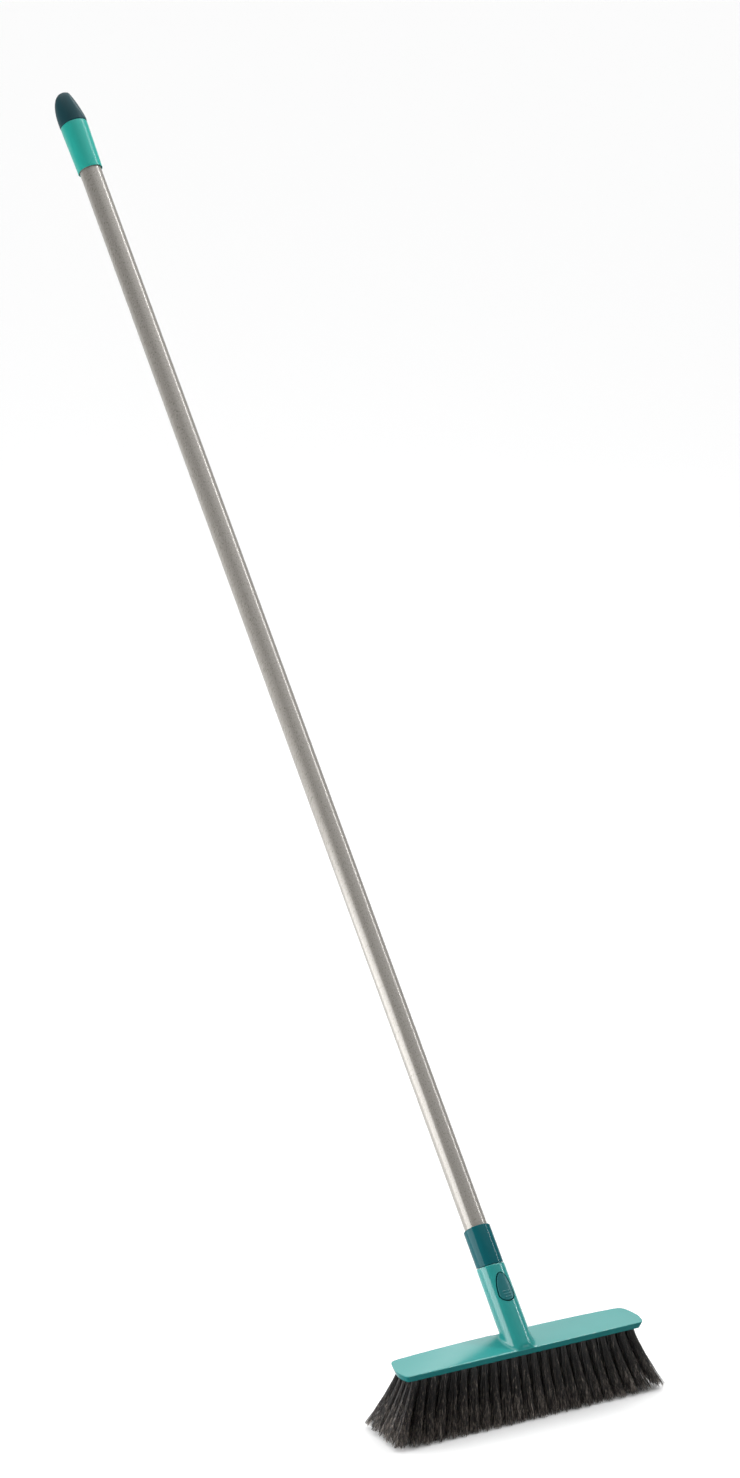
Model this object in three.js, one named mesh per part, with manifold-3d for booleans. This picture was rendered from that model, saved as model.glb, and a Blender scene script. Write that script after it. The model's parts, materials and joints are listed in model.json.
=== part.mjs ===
// Household floor broom: a moulded brush head with flared tufts, and a steel handle that clicks into
// the head's socket and is let go by a sprung button. Millimetres, +Z up, head along X. The origin
// is the middle of the flat face that the tuft tips sweep with.
import * as THREE from 'three';
import { mergeVertices } from 'three/addons/utils/BufferGeometryUtils.js';
import Module from 'manifold-3d';

const wasm = await Module();
wasm.setup();

// Driving dimensions.
const GAP = 0.3; // between pieces that touch
const FINE = 32; // sides of a round piece

const TUFT_DROP = 64; // tuft tips to the underside of the head
const BAND = 7; // height of the head's edge band, underside to rim
const RIM_Z = TUFT_DROP + BAND;
const HEAD_LENGTH = 268; // at the rim, along the front edge
const HEAD_DEPTH = 40; // at the rim
const BACK_INSET = 2.5; // each end of the back edge is this much shorter
const END_BULGE = 4.5; // how far the ends bow out
const BULGE_AT = -3.5; // where they bow out most, across the head
const CORNER_R = 5; // of the back corners
const FRONT_CORNER_R = 2.5;
const UNDERCUT = 2.4; // how far the band slants in, going down
const CROWN = 3.8; // middle of the top's back edge above the rim
const FRONT_STEP = 0.5; // front edge and ends of the top above the rim

const COLUMNS = 23; // tuft columns along the head
const ROWS = 5; // tufts in a column
const ROOT_SPAN = 248; // first to last tuft along the head, at the roots
const ROW_PITCH = 7.4; // between the rows, at the roots
const ROOT_R = 2.1;
const HOLE_DEPTH = 5.5; // of the holes that hold the tufts
const FLARE_X = 1.145; // tip spacing over root spacing, along the head
const FLARE_Y = 1.85; // the same, across the head
const END_FLARE = 6; // the end columns lean out this much further
const END_RISE = 3; // and their tips rise this much
const TIP_RY = 8.2; // half of a tuft's tip, across the head
const TUFT_SIDES = 6;

const LEAN = THREE.MathUtils.degToRad(43.55); // of the handle from the vertical
const AXIS_Y = -3.6; // where the handle's axis crosses the height of the rim
const SOCKET_R = 14.4;
const SOCKET_BASE_R = 15;
const SOCKET_BORE_R = 12;
const SOCKET_FLOOR = 14; // bottom of the bore, along the handle's axis
const SEAM = 83.5; // where the collar meets the socket, along the axis
const SEAM_TILT = THREE.MathUtils.degToRad(10); // the seam is lower on the button's side

const PLUG_R = SOCKET_BORE_R - GAP;
const COLLAR_R = 14.05;
const COLLAR_TOP = 124;
const TUBE_R = 12;
const TUBE_WALL = 0.5;
const TUBE_FOOT = 90; // lower end of the tube, along the axis
const TUBE_TOP = 1434;
const SPIGOT_LENGTH = 44;
const SPIGOT_WALL = 2.2;

const BUTTON_HALF = 7.5; // half width of the drop-shaped button
const BUTTON_LOW = 49; // centre of its round end, along the axis
const BUTTON_POINT = 70.5; // its narrow end
const BUTTON_GROOVE = 1; // between the button and its window
const BUTTON_FACE_R = 15; // its face is part of this cylinder round the axis
const TAB_LOW = 7; // the tabs at both ends that keep the button in, from the axis outwards
const TAB_HIGH = 9;
const TAB_WIDTH = 6;
const TAB_REACH = 1.6; // beyond the button's ends
const POCKET_FLOOR = 3;
const RIBS = 3; // across the button's round end
const SPRING_R = 2.6;
const WIRE_R = 0.4;
const SPRING_TURNS = 5;
const SPRING_SEAT = -8; // bottom of the spring's hole, from the axis outwards

const SLEEVE_FOOT = 1368;
const SLEEVE_TOP = 1426;
const SLEEVE_FOOT_R = 13.7;
const SLEEVE_TOP_R = 14.9;
const SLEEVE_RECESS = 3; // depth of the step inside its foot
const SLEEVE_LIP = 0.9; // width of that step
const CAP_R = 15.2;
const CAP_APEX = 1466;
const EYE_R = 6.5; // hanging eye in the cap
const EYE_AT = 1448.5; // along the axis
const EYE_TURN = 47; // degrees from the button round the handle to the eye's axis
const EYE_STEPS = 24;
const FACET_OUT = 15.4; // of the flat that the eye opens in, from the axis at the sleeve's top
const FACET_LEAN = THREE.MathUtils.degToRad(12.5); // of the flat, inwards going up

// Finishes.
const finish = (color, roughness, metalness = 0) =>
  new THREE.MeshStandardMaterial({ color, roughness, metalness });
const MINT = finish(0x5fb5a8, 0.25);
const TEAL = finish(0x17707a, 0.3);
const BUTTON_TEAL = finish(0x2b6f7a, 0.4);
const GRIP_MINT = finish(0x3aa598, 0.35);
const PETROL = finish(0x244a52, 0.5);
const TUBE_COAT = finish(0xa9a39a, 0.35, 0.4);
const STEEL = finish(0x9a9a98, 0.3, 1);
const BRISTLE = finish(0x1c1a19, 0.7);

// Booleans: a closed geometry as a solid, and back.
function solid(geometry) {
  const bare = geometry.index ? geometry.toNonIndexed() : geometry.clone();
  bare.deleteAttribute('normal');
  bare.deleteAttribute('uv');
  const merged = mergeVertices(bare, 1e-4);
  return new wasm.Manifold(
    new wasm.Mesh({
      numProp: 3,
      vertProperties: new Float32Array(merged.attributes.position.array),
      triVerts: new Uint32Array(merged.index.array),
    }),
  );
}

function piece(name, body, material, parent) {
  const mesh = body.getMesh();
  const geometry = new THREE.BufferGeometry();
  geometry.setAttribute('position', new THREE.BufferAttribute(new Float32Array(mesh.vertProperties), 3));
  geometry.setIndex(new THREE.BufferAttribute(new Uint32Array(mesh.triVerts), 1));
  geometry.computeVertexNormals();
  const made = new THREE.Mesh(geometry, material);
  made.name = name;
  parent.add(made);
  return made;
}

// A solid of revolution about Z, from [radius, height] corners listed upwards on the outside.
function turned(corners, sides = FINE) {
  const points = corners.map(([r, z]) => new THREE.Vector2(r, z));
  return solid(new THREE.LatheGeometry(points, sides).rotateX(Math.PI / 2));
}

function rod(radius, low, high, sides = FINE) {
  return turned([[0, low], [radius, low], [radius, high], [0, high]], sides);
}

// The half space above (or below) a plane through Z = height that dips towards -Y, as a big block.
function slantedBlock(height, above) {
  const size = 400;
  const block = new THREE.BoxGeometry(size, size, size);
  block.translate(0, 0, (above ? size : -size) / 2);
  block.rotateX(SEAM_TILT);
  return solid(block.translate(0, 0, height));
}

// The button's drop-shaped outline, grown evenly, run outwards (-Y) between two distances.
function drop(grow, from, to) {
  const half = BUTTON_HALF + grow;
  const point = BUTTON_POINT + grow;
  const bulge = BUTTON_LOW + 0.5 * (point - BUTTON_LOW);
  const outline = new THREE.Shape();
  outline.moveTo(0, point);
  outline.bezierCurveTo(-0.62 * half, point, -half, bulge, -half, BUTTON_LOW);
  outline.absarc(0, BUTTON_LOW, half, Math.PI, 2 * Math.PI, false);
  outline.bezierCurveTo(half, bulge, 0.62 * half, point, 0, point);
  const prism = new THREE.ExtrudeGeometry(outline, {
    depth: to - from, bevelEnabled: false, curveSegments: 12,
  });
  return solid(prism.translate(0, 0, from).rotateX(Math.PI / 2));
}

// A bar along the button that stands past both its ends, between two distances from the axis.
function tabs(grow, from, to) {
  const low = BUTTON_LOW - BUTTON_HALF - TAB_REACH - grow;
  const high = BUTTON_POINT + TAB_REACH + grow;
  const bar = new THREE.BoxGeometry(TAB_WIDTH + 2 * grow, to - from, high - low);
  return solid(bar.translate(0, -(from + to) / 2, (low + high) / 2));
}

// The handle's own frame: Z runs up its axis, and the button faces -Y.
const handle = new THREE.Group();
handle.position.set(0, AXIS_Y, RIM_Z);
handle.rotation.x = -LEAN;
handle.updateMatrix();

function inHeadFrame(body) {
  const m = handle.matrix.elements;
  return body.transform(Array.from(m));
}

// Brush head.
function planOutline(inset) {
  const front = HEAD_LENGTH / 2 - inset;
  const back = front - BACK_INSET;
  const half = HEAD_DEPTH / 2 - inset;
  const r = CORNER_R;
  const tight = FRONT_CORNER_R;
  const outline = new THREE.Shape();
  outline.moveTo(-front + tight, -half);
  outline.lineTo(front - tight, -half);
  outline.quadraticCurveTo(front, -half, front + 0.3, -half + tight);
  outline.quadraticCurveTo((front + back) / 2 + 2 * END_BULGE, BULGE_AT, back + 0.3, half - r);
  outline.quadraticCurveTo(back, half, back - r, half);
  outline.lineTo(-back + r, half);
  outline.quadraticCurveTo(-back, half, -back - 0.3, half - r);
  outline.quadraticCurveTo(-(front + back) / 2 - 2 * END_BULGE, BULGE_AT, -front - 0.3, -half + tight);
  outline.quadraticCurveTo(-front, -half, -front + tight, -half);
  return outline;
}

function bandSolid() {
  const slab = new THREE.ExtrudeGeometry(planOutline(UNDERCUT), {
    depth: 4 * CROWN, bevelThickness: BAND, bevelSize: UNDERCUT, bevelSegments: 1, curveSegments: 6,
  });
  return solid(slab.translate(0, 0, RIM_Z));
}

// The top tilts: low along the front edge and at both ends, high in the middle of the back edge.
function crownHeight(x, y) {
  const along = Math.min(1, Math.abs((2 * x) / HEAD_LENGTH));
  const across = THREE.MathUtils.clamp(y / HEAD_DEPTH + 0.5, 0, 1);
  return FRONT_STEP + (CROWN - FRONT_STEP) * (1 - along ** 2.5) * across ** 0.8;
}

function crownSolid() {
  const low = TUFT_DROP - 10;
  const block = new THREE.BoxGeometry(HEAD_LENGTH + 8, HEAD_DEPTH + 4, 40, 24, 8, 1);
  const spots = block.translate(0, 0, low + 20).attributes.position;
  for (let i = 0; i < spots.count; i += 1) {
    if (spots.getZ(i) > low + 1) {
      spots.setZ(i, RIM_Z + crownHeight(spots.getX(i), spots.getY(i)));
    }
  }
  return solid(block);
}

function socketSolid() {
  const low = -30;
  const outside = turned([[0, low], [SOCKET_BASE_R, low], [SOCKET_R, SEAM + 10], [0, SEAM + 10]]);
  const foot = RIM_Z - 1; // inside the head
  const below = new THREE.BoxGeometry(200, 200, 100).translate(0, 0, foot - 50);
  const inFront = new THREE.BoxGeometry(200, 100, 200).translate(0, -HEAD_DEPTH / 2 + 1.2 - 50, RIM_Z);
  const socket = inHeadFrame(outside.subtract(slantedBlock(SEAM, true)));
  return socket.subtract(solid(below)).subtract(solid(inFront));
}

function tuftHole(x, y) {
  const bore = new THREE.CylinderGeometry(ROOT_R + GAP, ROOT_R + GAP, HOLE_DEPTH + 5, TUFT_SIDES);
  return solid(bore.rotateX(Math.PI / 2).translate(x, y, TUFT_DROP + HOLE_DEPTH - (HOLE_DEPTH + 5) / 2));
}

const columnX = (column) => (column / (COLUMNS - 1) - 0.5) * ROOT_SPAN;
const rowY = (row) => (row - (ROWS - 1) / 2) * ROW_PITCH;

function brushHead() {
  const bore = inHeadFrame(rod(SOCKET_BORE_R, SOCKET_FLOOR, SEAM + 20));
  const window = inHeadFrame(drop(BUTTON_GROOVE, POCKET_FLOOR, SOCKET_BASE_R + 4));
  const holes = [];
  for (let column = 0; column < COLUMNS; column += 1) {
    for (let row = 0; row < ROWS; row += 1) {
      holes.push(tuftHole(columnX(column), rowY(row)));
    }
  }
  const slab = bandSolid().intersect(crownSolid());
  return slab.add(socketSolid()).subtract(bore).subtract(window).subtract(wasm.Manifold.union(holes));
}

// One column of tufts: straight roots in their holes, then cones that lean out and meet at the tips.
function tuft(x, y) {
  const tipX = (FLARE_X * ROOT_SPAN) / (COLUMNS - 1) / 2 - GAP / 2;
  const endwards = Math.abs(x / (ROOT_SPAN / 2)) ** 6;
  const root = new THREE.CylinderGeometry(ROOT_R, ROOT_R, HOLE_DEPTH - GAP, TUFT_SIDES);
  root.rotateX(Math.PI / 2).translate(x, y, TUFT_DROP + (HOLE_DEPTH - GAP) / 2);
  const cone = new THREE.CylinderGeometry(ROOT_R, tipX, TUFT_DROP, TUFT_SIDES).rotateX(Math.PI / 2);
  cone.translate(0, 0, TUFT_DROP / 2);
  const place = cone.attributes.position;
  for (let i = 0; i < place.count; i += 1) {
    const down = 1 - place.getZ(i) / TUFT_DROP;
    const widen = 1 + down * (TIP_RY / tipX - 1);
    const leanX = 1 + down * (FLARE_X - 1);
    const leanY = 1 + down * (FLARE_Y - 1);
    const out = down * endwards * END_FLARE * Math.sign(x);
    const rise = down * endwards * END_RISE;
    place.setXYZ(
      i, place.getX(i) + x * leanX + out, place.getY(i) * widen + y * leanY, place.getZ(i) + rise,
    );
  }
  return solid(cone).add(solid(root));
}

function tuftColumn(column) {
  const tufts = [];
  for (let row = 0; row < ROWS; row += 1) {
    tufts.push(tuft(columnX(column), rowY(row)));
  }
  return wasm.Manifold.union(tufts);
}

// Handle.
function clickPlug() {
  const collarFloor = TUBE_FOOT - GAP;
  const spigotR = TUBE_R - TUBE_WALL - GAP;
  const spigotTop = TUBE_FOOT + SPIGOT_LENGTH;
  const plug = turned([
    [0, SOCKET_FLOOR + GAP], [PLUG_R - 1, SOCKET_FLOOR + GAP], [PLUG_R, SOCKET_FLOOR + 2],
    [PLUG_R, collarFloor], [0, collarFloor],
  ]);
  const collar = turned([
    [0, SEAM - 10], [COLLAR_R, SEAM - 10], [COLLAR_R, COLLAR_TOP - 0.5], [COLLAR_R - 0.5, COLLAR_TOP],
    [TUBE_R + GAP, COLLAR_TOP], [TUBE_R + GAP, collarFloor], [spigotR, collarFloor],
    [spigotR, spigotTop - 1], [spigotR - 1, spigotTop], [spigotR - SPIGOT_WALL, spigotTop],
    [spigotR - SPIGOT_WALL, collarFloor - 2], [0, collarFloor - 2],
  ]);
  const pocket = drop(GAP, POCKET_FLOOR, PLUG_R + 4).add(tabs(GAP, POCKET_FLOOR, TAB_HIGH + GAP));
  const seat = rod(SPRING_R + WIRE_R + GAP, 0, POCKET_FLOOR - SPRING_SEAT + 1, 16);
  const seatPlaced = seat.rotate([90, 0, 0]).translate([0, -SPRING_SEAT, springHeight()]);
  const shell = plug.add(collar.subtract(slantedBlock(SEAM + GAP, false)));
  return shell.subtract(pocket).subtract(seatPlaced);
}

function springHeight() {
  return BUTTON_LOW + 4;
}

function releaseButton() {
  const face = rod(BUTTON_FACE_R, BUTTON_LOW - 20, BUTTON_POINT + 20, 64);
  let button = drop(0, TAB_LOW, BUTTON_FACE_R + 2).intersect(face).add(tabs(0, TAB_LOW, TAB_HIGH));
  for (let rib = 0; rib < RIBS; rib += 1) {
    const width = BUTTON_HALF * (0.9 + 0.12 * rib);
    const bar = new THREE.CylinderGeometry(0.5, 0.5, width, 8).rotateZ(Math.PI / 2);
    const height = BUTTON_LOW - 4 + 3 * rib;
    button = button.add(solid(bar.translate(0, -BUTTON_FACE_R + 0.35, height)));
  }
  return button;
}

function buttonSpring() {
  const length = TAB_LOW - SPRING_SEAT - 2 * (GAP + WIRE_R);
  const turnsPath = new (class extends THREE.Curve {
    getPoint(t, target = new THREE.Vector3()) {
      const turn = 2 * Math.PI * SPRING_TURNS * t;
      const out = SPRING_SEAT + GAP + WIRE_R + length * t;
      return target.set(SPRING_R * Math.cos(turn), -out, springHeight() + SPRING_R * Math.sin(turn));
    }
  })();
  const wire = new THREE.Shape().absarc(0, 0, WIRE_R, 0, 2 * Math.PI, false);
  const coil = new THREE.ExtrudeGeometry(wire, {
    steps: 12 * SPRING_TURNS, extrudePath: turnsPath, bevelEnabled: false, curveSegments: 3,
  });
  return solid(coil);
}

function handleTube() {
  const inner = TUBE_R - TUBE_WALL;
  return turned([
    [inner, TUBE_FOOT], [TUBE_R, TUBE_FOOT], [TUBE_R, TUBE_TOP], [inner, TUBE_TOP], [inner, TUBE_FOOT],
  ]);
}

function gripSleeve() {
  const inner = TUBE_R + GAP;
  const top = SLEEVE_TOP - GAP;
  const lip = inner + SLEEVE_LIP;
  return turned([
    [lip, SLEEVE_FOOT], [SLEEVE_FOOT_R, SLEEVE_FOOT], [SLEEVE_TOP_R, top - 6], [SLEEVE_TOP_R, top - 0.8],
    [SLEEVE_TOP_R - 0.8, top], [inner, top], [inner, SLEEVE_FOOT + SLEEVE_RECESS],
    [lip, SLEEVE_FOOT + SLEEVE_RECESS], [lip, SLEEVE_FOOT],
  ]);
}

function hangingCap() {
  const domeFoot = SLEEVE_TOP + 8;
  const dome = CAP_APEX - domeFoot;
  const spigotR = TUBE_R - TUBE_WALL - GAP;
  const corners = [
    [0, TUBE_TOP - 30], [spigotR - 1, TUBE_TOP - 30], [spigotR, TUBE_TOP - 29],
    [spigotR, TUBE_TOP + GAP], [TUBE_R + GAP, TUBE_TOP + GAP], [TUBE_R + GAP, SLEEVE_TOP],
    [CAP_R, SLEEVE_TOP], [CAP_R, domeFoot],
  ];
  const steps = 7;
  for (let step = 1; step < steps; step += 1) {
    const angle = (step / steps) * (Math.PI / 2);
    corners.push([CAP_R * Math.cos(angle) ** 0.8, domeFoot + dome * Math.sin(angle)]);
  }
  corners.push([0, CAP_APEX]);
  const eye = rod(EYE_R, -30, 30, EYE_STEPS).rotate([90, 0, EYE_TURN]).translate([0, 0, EYE_AT]);
  return turned(corners).subtract(eye).subtract(facetBlock());
}

// Everything outside the flat that the eye opens in.
function facetBlock() {
  const size = 100;
  const block = new THREE.BoxGeometry(size, size, size).translate(0, -size / 2, 0);
  const leaned = block.rotateX(-FACET_LEAN).translate(0, -FACET_OUT, SLEEVE_TOP);
  return solid(leaned.rotateZ(THREE.MathUtils.degToRad(EYE_TURN)));
}

// Assembly.
const broom = new THREE.Group();
broom.add(handle);
piece('brush_head', brushHead(), MINT, broom);
for (let column = 0; column < COLUMNS; column += 1) {
  const name = `tuft_column_${String(column + 1).padStart(2, '0')}`;
  piece(name, tuftColumn(column), BRISTLE, broom);
}
piece('click_plug', clickPlug(), TEAL, handle);
piece('release_button', releaseButton(), BUTTON_TEAL, handle);
piece('button_spring', buttonSpring(), STEEL, handle);
piece('handle_tube', handleTube(), TUBE_COAT, handle);
piece('grip_sleeve', gripSleeve(), GRIP_MINT, handle);
piece('hanging_cap', hangingCap(), PETROL, handle);

export default broom;
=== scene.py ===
import json
import math
import random

import bmesh
import bpy
from mathutils import Matrix, Vector
from mathutils.geometry import interpolate_bezier


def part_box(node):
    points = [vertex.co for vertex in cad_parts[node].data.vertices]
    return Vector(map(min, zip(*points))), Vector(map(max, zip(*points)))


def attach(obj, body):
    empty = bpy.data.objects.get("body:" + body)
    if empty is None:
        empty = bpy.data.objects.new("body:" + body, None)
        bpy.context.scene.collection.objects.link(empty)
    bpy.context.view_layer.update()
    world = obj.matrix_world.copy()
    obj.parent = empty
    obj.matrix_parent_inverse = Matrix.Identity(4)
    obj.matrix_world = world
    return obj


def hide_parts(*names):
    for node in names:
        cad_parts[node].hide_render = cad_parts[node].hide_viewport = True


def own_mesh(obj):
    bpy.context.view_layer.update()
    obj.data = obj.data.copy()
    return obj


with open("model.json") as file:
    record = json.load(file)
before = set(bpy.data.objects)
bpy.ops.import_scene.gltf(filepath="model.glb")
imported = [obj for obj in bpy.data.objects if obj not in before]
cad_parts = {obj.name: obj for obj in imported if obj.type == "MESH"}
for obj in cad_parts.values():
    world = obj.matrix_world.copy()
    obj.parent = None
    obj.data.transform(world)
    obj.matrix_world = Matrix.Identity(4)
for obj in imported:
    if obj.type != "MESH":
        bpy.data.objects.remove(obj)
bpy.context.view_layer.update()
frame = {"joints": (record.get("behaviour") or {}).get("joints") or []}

# Shapes are worked out in millimetres, and scaled when a piece is placed.
MM = 0.001
GAP = 0.3

# Head.
HEAD_LENGTH = 268.0
HEAD_DEPTH = 40.0
BAND = 7.0
BACK_INSET = 2.5
END_BULGE = 4.5
BULGE_SKEW = 0.18  # it is this much fuller towards the front
CORNER_R = 5.0  # of the back corners
FRONT_CORNER_R = 2.5
UNDERCUT = 2.4
FILLET_REACH = 9.0  # of the soft foot of the socket, outwards and upwards
FILLET_RISE = 10.0
CROWN = 3.8  # middle of the top's back edge above the rim
EDGE_STEP = 0.5  # front edge and ends of the top above the rim
EDGE_ROUND = 1.6  # width of the round along the top's raised edges
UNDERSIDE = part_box("brush_head")[0].z / MM
RIM = UNDERSIDE + BAND

# Tufts.
COLUMNS = 23
ROWS = 5
ROOT_SPAN = 248.0
ROW_PITCH = 7.4
ROOT_R = 2.1
HOLE_DEPTH = 5.5
FLARE_X = 1.145
FLARE_Y = 1.85
END_FLARE = 6.0
END_RISE = 3.0
TIP_RX = 7.0
TIP_RY = 8.2
FILAMENTS = 125  # in one tuft
FILAMENT_R = 0.24
FILAMENT_POINTS = 10
FILAMENT_TAPER = 0.25  # share of its radius that a filament loses towards its tip
CRIMP = (0.12, 0.34)
TIP_STRAY = 0.05
TIP_RISE = 0.2  # lowest tip above the floor
TIP_UNEVEN = 0.7

# Handle, measured along its axis from the height of the rim.
AXIS_Y = -3.6
SOCKET_R = 14.4
SOCKET_BASE_R = 15.0
SOCKET_BORE_R = 12.0
SOCKET_FLOOR = 14.0
SEAM = 83.5
SEAM_TILT = math.radians(10)
COLLAR_R = 14.05
COLLAR_TOP = 124.0
TUBE_R = 12.0
TUBE_WALL = 0.5
SPIGOT_R = TUBE_R - TUBE_WALL - GAP  # of the plug and the cap, inside the tube
PLUG_SPIGOT = 44.0
PLUG_HOLLOW_R = 9.0
PLUG_FLOOR = 2.0
CAP_SPIGOT = 30.0
TUBE_FOOT = 90.0
TUBE_TOP = 1434.0
SLEEVE_FOOT = 1368.0
SLEEVE_TOP = 1426.0
SLEEVE_FOOT_R = 13.7
SLEEVE_TOP_R = 14.9
SLEEVE_RECESS = 3.0
SLEEVE_LIP = 0.9
CAP_R = 15.2
CAP_SIDE = 8.0  # upright side of the cap, under its dome
CAP_FULLNESS = 0.8
CAP_APEX = 1466.0
EYE_R = 6.5
EYE_AT = 1448.5
EYE_TURN = math.radians(47)
FACET_OUT = 15.4
FACET_LEAN = math.radians(12.5)
BUTTON_HALF = 7.5
BUTTON_LOW = 49.0
BUTTON_POINT = 70.5
BUTTON_GROOVE = 1.3
BUTTON_FACE_R = 15.0
RIBS = 3
RIB_R = 0.55
RIB_PITCH = 3.0
RIB_LOW = BUTTON_LOW - 4
RIB_SINK = 0.3
TAB_LOW = 7.0
TAB_HIGH = 9.0
TAB_WIDTH = 6.0
TAB_REACH = 1.6
POCKET_FLOOR = 3.0
SPRING_R = 2.6
WIRE_R = 0.4
SPRING_TURNS = 5
SPRING_SEAT = -8.0
SPRING_AT = BUTTON_LOW + 4

# The handle's frame: Z up its axis, the button facing -Y.
button_joint = frame["joints"][0]
pressed = Vector(button_joint["axis"]).normalized()
along = (-pressed).cross(Vector((1, 0, 0)))
HANDLE = Matrix.Translation((0, AXIS_Y * MM, RIM * MM)) @ Matrix(
    ((1, pressed.x, along.x), (0, pressed.y, along.y), (0, pressed.z, along.z))
).to_4x4() @ Matrix.Scale(MM, 4)
HEAD = Matrix.Scale(MM, 4)


# Mesh tools.
def piece(name, bm):
    """A mesh object from a bmesh, smooth except across sharp edges."""
    mesh = bpy.data.meshes.new(name)
    bm.to_mesh(mesh)
    bm.free()
    made = bpy.data.objects.new(name, mesh)
    bpy.context.scene.collection.objects.link(made)
    shade(made, 35)
    return made


def shade(obj, angle):
    obj.data.shade_smooth()
    obj.data.set_sharp_from_angle(angle=math.radians(angle))


def settle(obj):
    """Turns the object's modifiers into its mesh."""
    graph = bpy.context.evaluated_depsgraph_get()
    graph.update()
    done = bpy.data.meshes.new_from_object(obj.evaluated_get(graph))
    obj.modifiers.clear()
    obj.data = done
    return obj


def boolean(obj, other, operation):
    joined = obj.modifiers.new("boolean", "BOOLEAN")
    joined.operation = operation
    joined.solver = "MANIFOLD"
    joined.object = other
    settle(obj)
    bpy.data.objects.remove(other)
    return obj


def remesh(obj, voxel, smoothing):
    """One even skin over whatever the shells enclose, with its edges softened."""
    skin = obj.modifiers.new("skin", "REMESH")
    skin.mode = "VOXEL"
    skin.voxel_size = voxel
    settle(obj)
    soften = obj.modifiers.new("soften", "SMOOTH")
    soften.factor = 0.5
    soften.iterations = smoothing
    return settle(obj)


def mesh_of(curve, name):
    """A smooth mesh object in the shape of a curve."""
    drawn = bpy.data.objects.new(curve.name, curve)
    bpy.context.scene.collection.objects.link(drawn)
    graph = bpy.context.evaluated_depsgraph_get()
    graph.update()
    mesh = bpy.data.meshes.new_from_object(drawn.evaluated_get(graph))
    bpy.data.objects.remove(drawn)
    made = bpy.data.objects.new(name, mesh)
    bpy.context.scene.collection.objects.link(made)
    mesh.shade_smooth()
    return made


def place(obj, matrix, body, slot, *nodes):
    obj.data.transform(matrix)
    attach(obj, body)
    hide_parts(*nodes)
    return obj


def turned(corners, steps=128):
    """A closed bmesh of revolution about Z from (radius, height) corners."""
    bm = bmesh.new()
    verts = [bm.verts.new((r, 0, z)) for r, z in corners]
    pairs = zip(verts, verts[1:])
    edges = [bm.edges.new(pair) for pair in pairs]
    if corners[0][0] > 0:
        edges.append(bm.edges.new((verts[-1], verts[0])))
    bmesh.ops.spin(
        bm, geom=verts + edges, cent=(0, 0, 0), axis=(0, 0, 1), angle=math.tau,
        steps=steps, use_merge=True, use_duplicate=False,
    )
    bmesh.ops.remove_doubles(bm, verts=bm.verts, dist=1e-5)
    bmesh.ops.recalc_face_normals(bm, faces=bm.faces)
    return bm


def rounded(corners, radius, steps=4):
    """The corners of a profile, with those that have a third value True rounded off."""
    done = []
    for i, corner in enumerate(corners):
        point = Vector(corner[:2])
        if len(corner) < 3:
            done.append(tuple(point))
            continue
        before = Vector(corners[i - 1][:2]) - point
        after = Vector(corners[(i + 1) % len(corners)][:2]) - point
        start = point + before.normalized() * min(radius, before.length / 2)
        end = point + after.normalized() * min(radius, after.length / 2)
        for step in range(steps + 1):
            t = step / steps
            done.append(tuple((1 - t) ** 2 * start + 2 * t * (1 - t) * point + t * t * end))
    return done


def rod(radius, low, high, steps=96):
    return turned([(0, low), (radius, low), (radius, high), (0, high)], steps)


def trim(bm, spot, outwards):
    """Cuts away what lies beyond a plane and closes the cut."""
    cut = bmesh.ops.bisect_plane(
        bm, geom=bm.verts[:] + bm.edges[:] + bm.faces[:], dist=1e-6,
        plane_co=spot, plane_no=outwards, clear_outer=True,
    )
    edges = [e for e in cut["geom_cut"] if isinstance(e, bmesh.types.BMEdge)]
    bmesh.ops.triangle_fill(bm, use_beauty=True, edges=edges)
    bmesh.ops.recalc_face_normals(bm, faces=bm.faces)
    return bm


def below_seam(bm, height):
    return trim(bm, (0, 0, height), (0, -math.sin(SEAM_TILT), math.cos(SEAM_TILT)))


def above_seam(bm, height):
    return trim(bm, (0, 0, height), (0, math.sin(SEAM_TILT), -math.cos(SEAM_TILT)))


def drop(grow, start, end):
    """The button's drop-shaped outline, grown, run outwards (-Y) between two distances."""
    half = BUTTON_HALF + grow
    point = BUTTON_POINT + grow
    bulge = BUTTON_LOW + 0.5 * (point - BUTTON_LOW)
    top = Vector((0, 0, point))
    side = Vector((-half, 0, BUTTON_LOW))
    flank = interpolate_bezier(
        top, Vector((-0.62 * half, 0, point)), Vector((-half, 0, bulge)), side, 24
    )
    arc = [
        Vector((half * math.cos(a), 0, BUTTON_LOW + half * math.sin(a)))
        for a in (math.pi + math.pi * i / 32 for i in range(1, 32))
    ]
    other = [Vector((-v.x, 0, v.z)) for v in reversed(flank[1:])]
    bm = bmesh.new()
    ring = [bm.verts.new(v + Vector((0, -start, 0))) for v in flank + arc + other]
    face = bm.faces.new(ring)
    run = bmesh.ops.extrude_face_region(bm, geom=[face])
    moved = [v for v in run["geom"] if isinstance(v, bmesh.types.BMVert)]
    bmesh.ops.translate(bm, verts=moved, vec=(0, start - end, 0))
    bmesh.ops.recalc_face_normals(bm, faces=bm.faces)
    return bm


def tabs(grow, start, end):
    low = BUTTON_LOW - BUTTON_HALF - TAB_REACH - grow
    high = BUTTON_POINT + TAB_REACH + grow
    bm = bmesh.new()
    bmesh.ops.create_cube(bm, size=1)
    bmesh.ops.scale(bm, verts=bm.verts, vec=(TAB_WIDTH + 2 * grow, end - start, high - low))
    bmesh.ops.translate(bm, verts=bm.verts, vec=(0, -(start + end) / 2, (low + high) / 2))
    return bm


def scratch(bm):
    return piece("scratch", bm)


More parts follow.
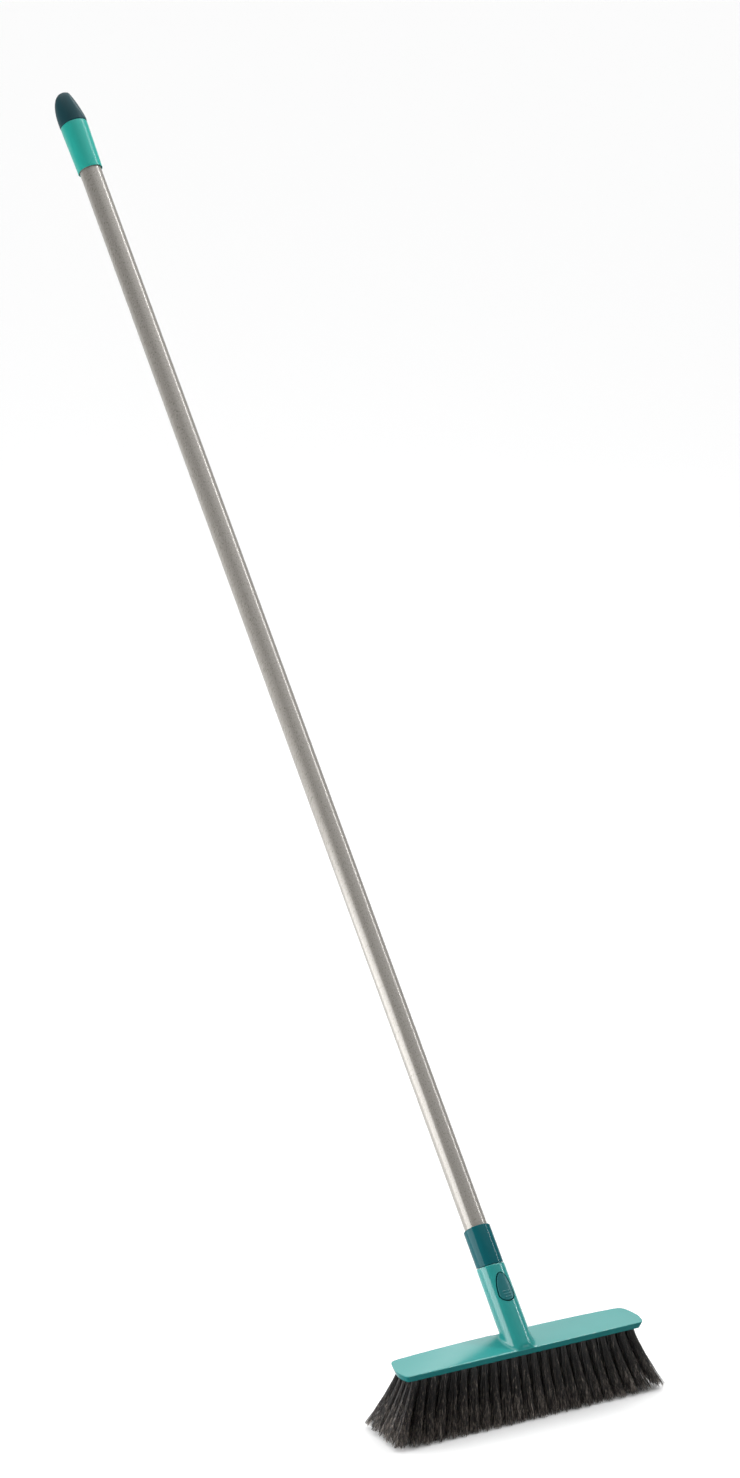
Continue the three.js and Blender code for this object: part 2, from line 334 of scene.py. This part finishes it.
# Materials.
def colour(hex_code):
    """A linear colour from an sRGB hex value."""
    channels = [int(hex_code[i:i + 2], 16) / 255 for i in (1, 3, 5)]
    return tuple(c / 12.92 if c <= 0.04045 else ((c + 0.055) / 1.055) ** 2.4 for c in channels) + (1,)


def add(tree, kind, values=None, links=None, **settings):
    """Adds one node, with its settings, its sockets' values and its links."""
    made = tree.nodes.new(kind)
    for name, value in settings.items():
        setattr(made, name, value)
    for name, value in (values or {}).items():
        made.inputs[name].default_value = value
    for name, source in (links or {}).items():
        tree.links.new(source, made.inputs[name])
    return made


def material(name):
    made = bpy.data.materials.new(name)
    made.use_nodes = True
    tree = made.node_tree
    tree.nodes.clear()
    shader = add(tree, "ShaderNodeBsdfPrincipled")
    output = add(tree, "ShaderNodeOutputMaterial", links={"Surface": shader.outputs[0]})
    place_on_object = add(tree, "ShaderNodeTexCoord")
    return made, tree, shader, place_on_object.outputs["Object"]


def blend_colours(tree, factor, colours):
    """A colour ramp between evenly spaced hex colours."""
    ramp = add(tree, "ShaderNodeValToRGB", links={"Fac": factor})
    for _ in colours[2:]:
        ramp.color_ramp.elements.new(0.5)
    for i, code in enumerate(colours):
        ramp.color_ramp.elements[i].position = i / (len(colours) - 1)
        ramp.color_ramp.elements[i].color = colour(code)
    return ramp.outputs["Color"]


def moulded(name, colours, roughness, grain, depth, gloss):
    """Injection-moulded plastic: even pigment with faint flow, and a fine mould grain in mm."""
    made, tree, shader, where = material(name)
    flow = add(
        tree, "ShaderNodeTexNoise", links={"Vector": where},
        values={"Scale": 1 / (55 * MM), "Detail": 3, "Roughness": 0.45, "Distortion": 0.6},
    )
    tree.links.new(blend_colours(tree, flow.outputs["Fac"], colours), shader.inputs["Base Color"])
    polish = add(
        tree, "ShaderNodeMapRange", links={"Value": flow.outputs["Fac"]},
        values={"From Min": 0.3, "From Max": 0.7, "To Min": roughness[0], "To Max": roughness[1]},
    )
    tree.links.new(polish.outputs["Result"], shader.inputs["Roughness"])
    skin = add(
        tree, "ShaderNodeTexNoise", links={"Vector": where},
        values={"Scale": 1 / (grain * MM), "Detail": 2, "Roughness": 0.5},
    )
    relief = add(
        tree, "ShaderNodeBump", links={"Height": skin.outputs["Fac"]},
        values={"Strength": 1.0, "Distance": depth * MM},
    )
    tree.links.new(relief.outputs["Normal"], shader.inputs["Normal"])
    shader.inputs["Specular IOR Level"].default_value = gloss
    return made


def paint_band_shade(made):
    """The band under the head's rim gets painted shade: its colour is darkened to a deeper teal than
    the top, and its specular level is turned down, standing in for the shade that falls on it.
    """
    tree = made.node_tree
    shader = tree.nodes["Principled BSDF"]
    pigment = shader.inputs["Base Color"].links[0].from_socket
    where = add(tree, "ShaderNodeTexCoord")
    height = add(tree, "ShaderNodeSeparateXYZ", links={"Vector": where.outputs["Object"]})
    above = add(
        tree, "ShaderNodeMapRange", links={"Value": height.outputs["Z"]},
        values={"From Min": (RIM - 0.4) * MM, "From Max": (RIM + 0.2) * MM},
    )
    # painted shade: the band below the rim is tinted darker than the top
    band_shade_tint = blend_colours(tree, above.outputs["Result"], ("#9CC0C6", "#FFFFFF"))
    both = add(tree, "ShaderNodeVectorMath", operation="MULTIPLY", links={0: pigment, 1: band_shade_tint})
    tree.links.new(both.outputs["Vector"], shader.inputs["Base Color"])
    shine = add(
        tree, "ShaderNodeMapRange", links={"Value": above.outputs["Result"]},
        values={"To Min": 0.06, "To Max": 0.5},
    )
    tree.links.new(shine.outputs["Result"], shader.inputs["Specular IOR Level"])
    return made


# Polypropylene off a polished mould: deep mint with a wide, soft gloss, and painted shade on the band
# under the rim.
MINT = paint_band_shade(moulded(
    "polypropylene_mint_gloss", ("#208480", "#248A86", "#228783"),
    roughness=(0.17, 0.22), grain=1.6, depth=0.002, gloss=0.5,
))
# The same plastic with a little more texture, where a hand holds it.
GRIP = moulded(
    "polypropylene_mint_grip", ("#209A8F", "#25A094", "#229D91"),
    roughness=(0.24, 0.32), grain=0.9, depth=0.005, gloss=0.3,
)
# Acetal of the click plug: dark teal, satin gloss.
TEAL = moulded(
    "acetal_teal_satin", ("#0B4E55", "#0E545B", "#0C5158"),
    roughness=(0.07, 0.10), grain=1.4, depth=0.002, gloss=0.12,
)
# The button's face, finely sparked so that a thumb holds on it.
BUTTON = moulded(
    "acetal_button_sparked", ("#185F63", "#1D6569", "#1A6266"),
    roughness=(0.28, 0.36), grain=0.5, depth=0.010, gloss=0.25,
)
# Soft-touch polypropylene of the cap: petrol, nearly matt.
CAP = moulded(
    "polypropylene_petrol_matt", ("#13373E", "#173E45", "#153A41"),
    roughness=(0.42, 0.50), grain=0.7, depth=0.008, gloss=0.15,
)


def coated_steel():
    """Rolled steel tube under a taupe enamel: fine flake, and faint draw lines along the tube."""
    made, tree, shader, where = material("steel_tube_taupe_enamel")
    turn = math.atan2(along.y, along.z)
    level = add(
        tree, "ShaderNodeMapping", links={"Vector": where}, vector_type="POINT",
        values={"Rotation": (turn, 0, 0), "Scale": (1, 1, 0.01)},
    )
    lines = add(
        tree, "ShaderNodeTexNoise", links={"Vector": level.outputs[0]},
        values={"Scale": 1 / (1.1 * MM), "Detail": 2},
    )
    flake = add(
        tree, "ShaderNodeTexNoise", links={"Vector": where},
        values={"Scale": 1 / (0.8 * MM), "Detail": 1},
    )
    both = add(
        tree, "ShaderNodeMath", operation="MULTIPLY",
        links={0: lines.outputs["Fac"], 1: flake.outputs["Fac"]},
    )
    spread = add(
        tree, "ShaderNodeMapRange", links={"Value": both.outputs[0]},
        values={"From Min": 0.12, "From Max": 0.40},
    )
    coat = blend_colours(tree, spread.outputs["Result"], ("#8B8781", "#908C86", "#95918B"))
    tree.links.new(coat, shader.inputs["Base Color"])
    polish = add(
        tree, "ShaderNodeMapRange", links={"Value": lines.outputs["Fac"]},
        values={"From Min": 0.3, "From Max": 0.7, "To Min": 0.26, "To Max": 0.32},
    )
    tree.links.new(polish.outputs["Result"], shader.inputs["Roughness"])
    relief = add(
        tree, "ShaderNodeBump", links={"Height": flake.outputs["Fac"]},
        values={"Strength": 1.0, "Distance": 0.002 * MM},
    )
    tree.links.new(relief.outputs["Normal"], shader.inputs["Normal"])
    shader.inputs["Metallic"].default_value = 0.25
    shader.inputs["Coat Weight"].default_value = 0.3
    shader.inputs["Coat Roughness"].default_value = 0.15
    return made


def spring_steel():
    """Drawn spring wire, bright and slightly streaked."""
    made, tree, shader, where = material("spring_steel_drawn")
    streak = add(
        tree, "ShaderNodeTexNoise", links={"Vector": where},
        values={"Scale": 1 / (0.6 * MM), "Detail": 2},
    )
    tone = blend_colours(tree, streak.outputs["Fac"], ("#8F8F8D", "#B4B4B1"))
    tree.links.new(tone, shader.inputs["Base Color"])
    shader.inputs["Metallic"].default_value = 1
    shader.inputs["Roughness"].default_value = 0.28
    return made


def bristle_filament():
    """
    Crimped black-brown polyester filament, with a dull sheen, and paler strands among dark ones that
    are partly the filament's own tone and partly painted glints. Painted sheen lightens it towards the
    tips, and painted shade darkens it towards the roots.
    The strands are drawn over 1 mm wide, several filaments together, as one alone is too fine to show.
    """
    made, tree, shader, where = material("polyester_filament_black_brown")
    stretch = add(
        tree, "ShaderNodeMapping", links={"Vector": where}, vector_type="POINT",
        values={"Scale": (1, 1, 0.05)},
    )
    strand = add(
        tree, "ShaderNodeTexNoise", links={"Vector": stretch.outputs[0]},
        values={"Scale": 1 / (1.6 * MM), "Detail": 2, "Roughness": 0.7},
    )
    height = add(tree, "ShaderNodeSeparateXYZ", links={"Vector": where})
    # Painted sheen lightens the filaments towards the tips, and painted shade darkens them towards the
    # roots under the head.
    painted_tip_sheen_root_shade = add(
        tree, "ShaderNodeMapRange", links={"Value": height.outputs["Z"]},
        values={"From Min": 0, "From Max": UNDERSIDE * MM, "To Min": 0.06, "To Max": -0.10},
    )
    tone = add(
        tree, "ShaderNodeMath", operation="ADD",
        links={0: strand.outputs["Fac"], 1: painted_tip_sheen_root_shade.outputs["Result"]},
    )
    spread = add(
        tree, "ShaderNodeMapRange", links={"Value": tone.outputs[0]},
        values={"From Min": 0.37, "From Max": 0.66},
    )
    # The pale end of these colours is partly the filaments' own grey tone and partly painted glints.
    shades = blend_colours(tree, spread.outputs["Result"], ("#040303", "#110E0C", "#453D38", "#A2988F"))
    tree.links.new(shades, shader.inputs["Base Color"])
    shader.inputs["Roughness"].default_value = 0.38
    shader.inputs["IOR"].default_value = 1.57
    return made


STEEL = spring_steel()
TUBE = coated_steel()
BRISTLE = bristle_filament()


def finish(obj, made):
    obj.data.materials.clear()
    obj.data.materials.append(made)
    return obj


# Head.
def half_length(across):
    """Half the head's length at the rim, for a place from -half depth to half depth across it."""
    half = HEAD_DEPTH / 2
    share = across / half
    straight = HEAD_LENGTH / 2 - BACK_INSET * (share + 1) / 2
    radius = CORNER_R if across > 0 else FRONT_CORNER_R
    into_corner = max(0.0, abs(across) - (half - radius))
    corner = radius - math.sqrt(max(0.0, radius ** 2 - into_corner ** 2))
    return straight + END_BULGE * (1 - share ** 2) * (1 - BULGE_SKEW * share) - corner


def crown(x, across):
    """Height of the head's top above the rim: low at the front and the ends, high at the back."""
    back = (CROWN - EDGE_STEP) * (1 - min(1.0, abs(2 * x / HEAD_LENGTH)) ** 2.5)
    tilt = back * max(0.0, across / HEAD_DEPTH + 0.5) ** 0.8
    edge = max(0.0, abs(across) - (HEAD_DEPTH / 2 - EDGE_ROUND)) / EDGE_ROUND
    end = max(0.0, abs(x) - (half_length(across) - EDGE_ROUND)) / EDGE_ROUND
    fall = min(1.0, math.hypot(edge, end)) ** 2.5
    return EDGE_STEP + tilt * (1 - 0.35 * fall)


def head_slab():
    bm = bmesh.new()
    bmesh.ops.create_grid(bm, x_segments=200, y_segments=48, size=1)
    for v in bm.verts:
        across = HEAD_DEPTH / 2 * math.sin(v.co.y * math.pi / 2)
        x = v.co.x * half_length(across)
        v.co = (x, across, RIM + crown(x, across))
    rim = [e for e in bm.edges if e.is_boundary]
    wall = bmesh.ops.extrude_edge_only(bm, edges=rim)["geom"]
    low = [v for v in wall if isinstance(v, bmesh.types.BMVert)]
    for v in low:
        v.co.z = RIM
    lip = [e for e in wall if isinstance(e, bmesh.types.BMEdge)]
    band = bmesh.ops.extrude_edge_only(bm, edges=lip)["geom"]
    under = [v for v in band if isinstance(v, bmesh.types.BMVert)]
    inset = (1 - UNDERCUT / (HEAD_LENGTH / 2), 1 - UNDERCUT / (HEAD_DEPTH / 2), 1)
    bmesh.ops.scale(bm, verts=under, vec=inset)
    for v in under:
        v.co.z = UNDERSIDE
    foot = [e for e in band if isinstance(e, bmesh.types.BMEdge)]
    bmesh.ops.contextual_create(bm, geom=foot)
    bmesh.ops.recalc_face_normals(bm, faces=bm.faces)
    return bm


TO_HEAD = Matrix.Scale(1 / MM, 4) @ HANDLE  # handle millimetres to head millimetres


def head_socket():
    low, high = -30.0, SEAM + 10
    bm = turned([(0, low), (SOCKET_BASE_R, low), (SOCKET_R, high), (0, high)])
    below_seam(bm, SEAM)
    bm.transform(TO_HEAD)
    trim(bm, (0, 0, RIM + 0.5), (0, 0, -1))
    return trim(bm, (0, 1.2 - HEAD_DEPTH / 2, 0), (0, -1, 0))


def soften_foot(head):
    """Blends the socket's foot into the top, and leaves the rest as it is."""
    group = head.vertex_groups.new(name="foot")
    to_handle = TO_HEAD.inverted()
    for v in head.data.vertices:
        spot = to_handle @ v.co
        out = math.hypot(spot.x, spot.y)
        rise = v.co.z - RIM
        near = 1 - abs(rise - CROWN - 1) / FILLET_RISE
        close = 1 - (out - SOCKET_BASE_R) / FILLET_REACH
        weight = min(1.0, 2 * max(0.0, near)) * min(1.0, 2 * max(0.0, close))
        if weight > 0 and rise > 0.8:
            group.add([v.index], weight, "REPLACE")
    soften = head.modifiers.new("fillet", "SMOOTH")
    soften.vertex_group = "foot"
    soften.factor = 0.5
    soften.iterations = 50
    settle(head)
    head.vertex_groups.clear()


def tuft_holes():
    bm = bmesh.new()
    for column in range(COLUMNS):
        for row in range(ROWS):
            spot = Matrix.Translation((column_x(column), row_y(row), UNDERSIDE))
            bmesh.ops.create_cone(
                bm, segments=14, radius1=ROOT_R + GAP, radius2=ROOT_R + GAP,
                depth=2 * HOLE_DEPTH, cap_ends=True, matrix=spot,
            )
    return bm


def column_x(column):
    return (column / (COLUMNS - 1) - 0.5) * ROOT_SPAN


def row_y(row):
    return (row - (ROWS - 1) / 2) * ROW_PITCH


def brush_head():
    bm = head_slab()
    socket = head_socket()
    extra = bpy.data.meshes.new("socket")
    socket.to_mesh(extra)
    bm.from_mesh(extra)
    head = piece("brush_head_moulding", bm)
    remesh(head, 0.75, smoothing=1)
    soften_foot(head)
    for cutter in (rod(SOCKET_BORE_R, SOCKET_FLOOR, SEAM + 20), drop(BUTTON_GROOVE, POCKET_FLOOR, 25)):
        cutter.transform(TO_HEAD)
        boolean(head, scratch(cutter), "DIFFERENCE")
    boolean(head, scratch(tuft_holes()), "DIFFERENCE")
    shade(head, 40)
    finish(head, MINT)
    return place(head, HEAD, "broom", "mint_moulding", "brush_head")


# Bristles.
TRIANGLE = bpy.data.curves.new("filament_section", "CURVE")
section = TRIANGLE.splines.new("POLY")
section.points.add(2)
for i, point in enumerate(section.points):
    turn = math.tau * i / 3
    point.co = (math.cos(turn), math.sin(turn), 0, 1)
section.use_cyclic_u = True
section_object = bpy.data.objects.new("filament_section", TRIANGLE)
bpy.context.scene.collection.objects.link(section_object)


def filament(rng, x, y):
    """The points of one filament of the tuft rooted at x, y, from its root to its tip."""
    reach = math.sqrt(rng.random())
    turn = rng.uniform(0, math.tau)
    endwards = abs(2 * x / ROOT_SPAN) ** 6 * math.copysign(1, x)
    root = Vector((x + ROOT_R * reach * math.cos(turn), y + ROOT_R * reach * math.sin(turn), UNDERSIDE))
    stray = 1 + TIP_STRAY * rng.gauss(0, 1)
    ragged = TIP_RISE + TIP_UNEVEN * abs(rng.gauss(0, 1))
    tip = Vector((
        x * FLARE_X + END_FLARE * endwards + TIP_RX * reach * stray * math.cos(turn),
        y * FLARE_Y + TIP_RY * reach * stray * math.sin(turn),
        abs(endwards) * END_RISE + ragged,
    ))
    crimp = rng.uniform(*CRIMP)
    points = [root + Vector((0, 0, HOLE_DEPTH - 1))]
    for step in range(FILAMENT_POINTS):
        down = step / (FILAMENT_POINTS - 1)
        spot = root.lerp(tip, down ** 1.2)
        spot.z = root.z + (tip.z - root.z) * down
        kink = crimp * down * (-1) ** step
        points.append(spot + kink * Vector((math.cos(turn + step), math.sin(turn + step), 0)))
    return points


def bristles(column):
    rng = random.Random(100 + column)
    curve = bpy.data.curves.new("bristles", "CURVE")
    curve.dimensions = "3D"
    curve.bevel_mode = "OBJECT"
    curve.bevel_object = section_object
    curve.use_fill_caps = True
    count = FILAMENTS
    size = FILAMENT_R * 1
    for row in range(ROWS):
        for _ in range(count):
            points = filament(rng, column_x(column), row_y(row))
            spline = curve.splines.new("POLY")
            spline.points.add(len(points) - 1)
            for i, point in enumerate(points):
                spline.points[i].co = (*point, 1)
                spline.points[i].radius = size * (1 - FILAMENT_TAPER * i / (len(points) - 1))
    made = mesh_of(curve, f"bristles_column_{column + 1:02d}")
    finish(made, BRISTLE)
    return place(made, HEAD, "broom", "bristle", f"tuft_column_{column + 1:02d}")


# Handle.
def click_plug():
    plug_r = SOCKET_BORE_R - GAP
    floor = TUBE_FOOT - GAP
    body = scratch(turned(rounded([
        (0, SOCKET_FLOOR + GAP), (plug_r, SOCKET_FLOOR + GAP, True), (plug_r, floor), (0, floor),
    ], 1.5)))
    ring = turned(rounded([
        (0, SEAM - 10), (COLLAR_R, SEAM - 10), (COLLAR_R, COLLAR_TOP, True),
        (TUBE_R + GAP, COLLAR_TOP, True), (TUBE_R + GAP, floor), (SPIGOT_R, floor),
        (SPIGOT_R, TUBE_FOOT + PLUG_SPIGOT, True), (PLUG_HOLLOW_R, TUBE_FOOT + PLUG_SPIGOT),
        (PLUG_HOLLOW_R, floor - PLUG_FLOOR), (0, floor - PLUG_FLOOR),
    ], 0.7))
    above_seam(ring, SEAM + 2 * GAP)
    collar = piece("click_plug_moulding", ring)
    boolean(collar, body, "UNION")
    boolean(collar, scratch(drop(GAP, POCKET_FLOOR, 20)), "DIFFERENCE")
    boolean(collar, scratch(tabs(GAP, POCKET_FLOOR, TAB_HIGH + GAP)), "DIFFERENCE")
    seat = rod(SPRING_R + WIRE_R + GAP, 0, POCKET_FLOOR - SPRING_SEAT + 1, 32)
    outwards = Matrix.Rotation(math.pi / 2, 4, "X")
    seat.transform(Matrix.Translation((0, -SPRING_SEAT, SPRING_AT)) @ outwards)
    boolean(collar, scratch(seat), "DIFFERENCE")
    shade(collar, 35)
    finish(collar, TEAL)
    return place(collar, HANDLE, "broom", "teal_moulding", "click_plug")


def release_button():
    stem = piece("release_button_face", drop(0, TAB_LOW, BUTTON_FACE_R + 3))
    boolean(stem, scratch(rod(BUTTON_FACE_R, BUTTON_LOW - 20, BUTTON_POINT + 20, 256)), "INTERSECT")
    boolean(stem, scratch(tabs(0, TAB_LOW, TAB_HIGH)), "UNION")
    for rib in range(RIBS):
        bar = bmesh.new()
        width = BUTTON_HALF * (0.9 + 0.12 * rib)
        bmesh.ops.create_cone(
            bar, segments=24, radius1=RIB_R, radius2=RIB_R, depth=width, cap_ends=True,
            matrix=Matrix.Rotation(math.pi / 2, 4, "Y"),
        )
        spot = (0, RIB_SINK - BUTTON_FACE_R, RIB_LOW + RIB_PITCH * rib)
        bmesh.ops.translate(bar, verts=bar.verts, vec=spot)
        boolean(stem, scratch(bar), "UNION")
    remesh(stem, 0.25, smoothing=3)
    shade(stem, 60)
    finish(stem, BUTTON)
    return place(stem, HANDLE, "button", "blue_teal_moulding", "release_button")


def button_spring():
    length = TAB_LOW - SPRING_SEAT - 2 * (GAP + WIRE_R)
    curve = bpy.data.curves.new("spring", "CURVE")
    curve.dimensions = "3D"
    curve.bevel_depth = WIRE_R
    curve.bevel_resolution = 3
    curve.use_fill_caps = True
    steps = 24 * SPRING_TURNS
    coil = curve.splines.new("POLY")
    coil.points.add(steps)
    for i, point in enumerate(coil.points):
        turn = math.tau * SPRING_TURNS * i / steps
        out = SPRING_SEAT + GAP + WIRE_R + length * i / steps
        point.co = (SPRING_R * math.cos(turn), -out, SPRING_AT + SPRING_R * math.sin(turn), 1)
    made = mesh_of(curve, "button_spring_coil")
    finish(made, STEEL)
    place(made, HANDLE, "broom", "spring_steel", "button_spring")
    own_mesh(made)
    return made


def handle_tube():
    inner = TUBE_R - TUBE_WALL
    tube = piece("handle_tube_steel", turned([
        (inner, TUBE_FOOT), (TUBE_R, TUBE_FOOT), (TUBE_R, TUBE_TOP), (inner, TUBE_TOP),
    ]))
    finish(tube, TUBE)
    return place(tube, HANDLE, "broom", "coated_tube", "handle_tube")


def grip_sleeve():
    inner = TUBE_R + GAP
    lip = inner + SLEEVE_LIP
    top = SLEEVE_TOP - GAP
    sleeve = piece("grip_sleeve_moulding", turned(rounded([
        (lip, SLEEVE_FOOT), (SLEEVE_FOOT_R, SLEEVE_FOOT, True), (SLEEVE_TOP_R, top - 6),
        (SLEEVE_TOP_R, top, True), (inner, top), (inner, SLEEVE_FOOT + SLEEVE_RECESS),
        (lip, SLEEVE_FOOT + SLEEVE_RECESS),
    ], 0.8)))
    finish(sleeve, GRIP)
    return place(sleeve, HANDLE, "broom", "mint_grip", "grip_sleeve")


def hanging_cap():
    """The domed end cap, with its flat and with the eye that flares to both mouths."""
    dome_foot = SLEEVE_TOP + CAP_SIDE
    dome = CAP_APEX - dome_foot
    corners = [
        (0, TUBE_TOP - CAP_SPIGOT), (SPIGOT_R, TUBE_TOP - CAP_SPIGOT, True), (SPIGOT_R, TUBE_TOP + GAP),
        (TUBE_R + GAP, TUBE_TOP + GAP), (TUBE_R + GAP, SLEEVE_TOP), (CAP_R, SLEEVE_TOP, True),
        (CAP_R, dome_foot),
    ]
    steps = 28
    for step in range(1, steps):
        angle = step / steps * math.pi / 2
        corners.append((CAP_R * math.cos(angle) ** CAP_FULLNESS, dome_foot + dome * math.sin(angle)))
    corners.append((0, CAP_APEX))
    bm = turned(rounded(corners, 0.8), 160)
    round_axis = Matrix.Rotation(EYE_TURN, 3, "Z")
    flat = round_axis @ Vector((0, -math.cos(FACET_LEAN), math.sin(FACET_LEAN)))
    on_flat = round_axis @ Vector((0, -FACET_OUT, 0))
    trim(bm, on_flat + Vector((0, 0, SLEEVE_TOP)), flat)
    cap = piece("hanging_cap_moulding", bm)
    eye = turned([
        (0, -30), (EYE_R + 17, -30), (EYE_R, -13), (EYE_R, 11.2), (EYE_R + 19, 30), (0, 30),
    ], 96)
    turn = Matrix.Rotation(EYE_TURN, 4, "Z") @ Matrix.Rotation(math.pi / 2, 4, "X")
    eye.transform(Matrix.Translation((0, 0, EYE_AT)) @ turn)
    boolean(cap, scratch(eye), "DIFFERENCE")
    remesh(cap, 0.4, smoothing=4)
    shade(cap, 60)
    finish(cap, CAP)
    return place(cap, HANDLE, "broom", "petrol_moulding", "hanging_cap")


# Studio.
AZIMUTH = math.radians(28.34)
ELEVATION = math.radians(19.19)
DISTANCE = 5.456
AIM_LEFT = 0.1454  # the view's middle, to the left of and above the head's middle
AIM_ABOVE = 0.5979
LENS = 134.0

# Directions seen from the camera's side of the broom.
UP = Vector((0, 0, 1))
RIGHT = Vector((math.cos(AZIMUTH), -math.sin(AZIMUTH), 0))
AWAY = Vector((math.sin(AZIMUTH), math.cos(AZIMUTH), 0))
TO_CAMERA = UP * math.sin(ELEVATION) - AWAY * math.cos(ELEVATION)

# Lights: sizes and distances in metres.
STRIP_SIZE = (0.11, 2.6)
STRIP_AWAY = 1.6
STRIP_TURN = math.radians(45)  # round the handle, where its reflection shows
WASH_SIZE = (2.6, 0.9)
WASH_AWAY = 1.4
WASH_TURN = math.radians(-42)
WINDOW_SIZE = (0.16, 1.2)
WINDOW_AWAY = 3.0
CEILING_LEAN = math.radians(25)
FLOOR_HALF = 40.0
FLOOR_BELOW = 0.0006  # the tips


def studio_camera():
    back = Vector((
        -math.sin(AZIMUTH) * math.cos(ELEVATION), -math.cos(AZIMUTH) * math.cos(ELEVATION),
        math.sin(ELEVATION),
    ))
    up = back.cross(RIGHT)
    aim = Vector((0, 0, RIM * MM)) - RIGHT * AIM_LEFT + up * AIM_ABOVE
    data = bpy.data.cameras.new("studio_camera")
    data.lens = LENS
    data.sensor_width = 36
    data.clip_end = 200
    made = bpy.data.objects.new("studio_camera", data)
    bpy.context.scene.collection.objects.link(made)
    turn = Matrix((RIGHT, up, back)).transposed().to_4x4()
    made.matrix_world = Matrix.Translation(aim + back * DISTANCE) @ turn
    bpy.context.scene.camera = made


def softbox(name, spot, aim, upright, size, radiance):
    """An area light at a spot, facing another, its height along a direction, of an even radiance."""
    data = bpy.data.lights.new(name, "AREA")
    data.shape = "RECTANGLE"
    data.size, data.size_y = size
    data.energy = radiance * math.pi * size[0] * size[1]
    made = bpy.data.objects.new(name, data)
    bpy.context.scene.collection.objects.link(made)
    back = (Vector(spot) - Vector(aim)).normalized()
    across = Vector(upright).cross(back).normalized()
    turn = Matrix((across, back.cross(across), back)).transposed().to_4x4()
    made.matrix_world = Matrix.Translation(spot) @ turn


def studio_air():
    """A bright ceiling that comes down behind, and grey walls that give round pieces a dark core."""
    world = bpy.data.worlds.new("studio_air")
    world.use_nodes = True
    tree = world.node_tree
    walls = tree.nodes["Background"]
    where = add(tree, "ShaderNodeTexCoord")
    brightest = AWAY * math.sin(CEILING_LEAN) + UP * math.cos(CEILING_LEAN)
    facing = add(
        tree, "ShaderNodeVectorMath", operation="DOT_PRODUCT",
        links={0: where.outputs["Generated"]}, values={1: brightest},
    )
    ceiling = add(
        tree, "ShaderNodeMapRange", interpolation_type="SMOOTHSTEP",
        links={"Value": facing.outputs["Value"]},
        values={"From Min": 0.5, "From Max": 0.9, "To Min": 0.22, "To Max": 2.1},
    )
    tree.links.new(ceiling.outputs["Result"], walls.inputs["Strength"])
    walls.inputs["Color"].default_value = (1, 1, 1, 1)
    bpy.context.scene.world = world


def seen_in(normal):
    """The direction that a face with this normal mirrors to the camera."""
    return 2 * normal.dot(TO_CAMERA) * normal - TO_CAMERA


def beside_handle(turn):
    """A normal of the handle, turned round its axis from the side that faces the camera."""
    front = (TO_CAMERA - TO_CAMERA.dot(along) * along).normalized()
    return math.cos(turn) * front + math.sin(turn) * along.cross(front)


def paper_floor():
    """A sheet of pale seamless paper, just clear of the tuft tips."""
    bm = bmesh.new()
    bmesh.ops.create_grid(bm, x_segments=1, y_segments=1, size=FLOOR_HALF)
    floor = piece("studio_floor", bm)
    floor.location.z = -FLOOR_BELOW
    paper, tree, shader, where = material("seamless_paper_pale")
    fibre = add(
        tree, "ShaderNodeTexNoise", links={"Vector": where},
        values={"Scale": 1 / (2 * MM), "Detail": 2},
    )
    tone = blend_colours(tree, fibre.outputs["Fac"], ("#F2F2F2", "#F5F5F5"))
    tree.links.new(tone, shader.inputs["Base Color"])
    shader.inputs["Roughness"].default_value = 0.9
    finish(floor, paper)


def studio():
    """A strip light to the right of the handle, a wide one to the left, and two behind the head."""
    paper_floor()
    studio_air()
    middle = HANDLE @ Vector((0, 0, TUBE_TOP / 2))
    strip = middle + STRIP_AWAY * seen_in(beside_handle(STRIP_TURN))
    softbox("strip", strip, middle, along, STRIP_SIZE, radiance=20)
    socket = HANDLE @ Vector((0, 0, SEAM / 2))
    wash = socket + WASH_AWAY * seen_in(beside_handle(WASH_TURN))
    softbox("wash", wash, socket, along, WASH_SIZE, radiance=5.5)
    head = Vector((0, 0, RIM * MM))
    for side in (-1, 1):
        lean = Vector((0.014 * side, -0.06, 1)).normalized()  # of the top, halfway to its end
        softbox("window", head + WINDOW_AWAY * seen_in(lean), head, UP, WINDOW_SIZE, radiance=1.0)
    bpy.context.scene.view_settings.view_transform = "Standard"


brush_head()
for column in range(COLUMNS):
    bristles(column)
bpy.data.objects.remove(section_object)
click_plug()
release_button()
button_spring()
handle_tube()
grip_sleeve()
hanging_cap()
studio_camera()
studio()
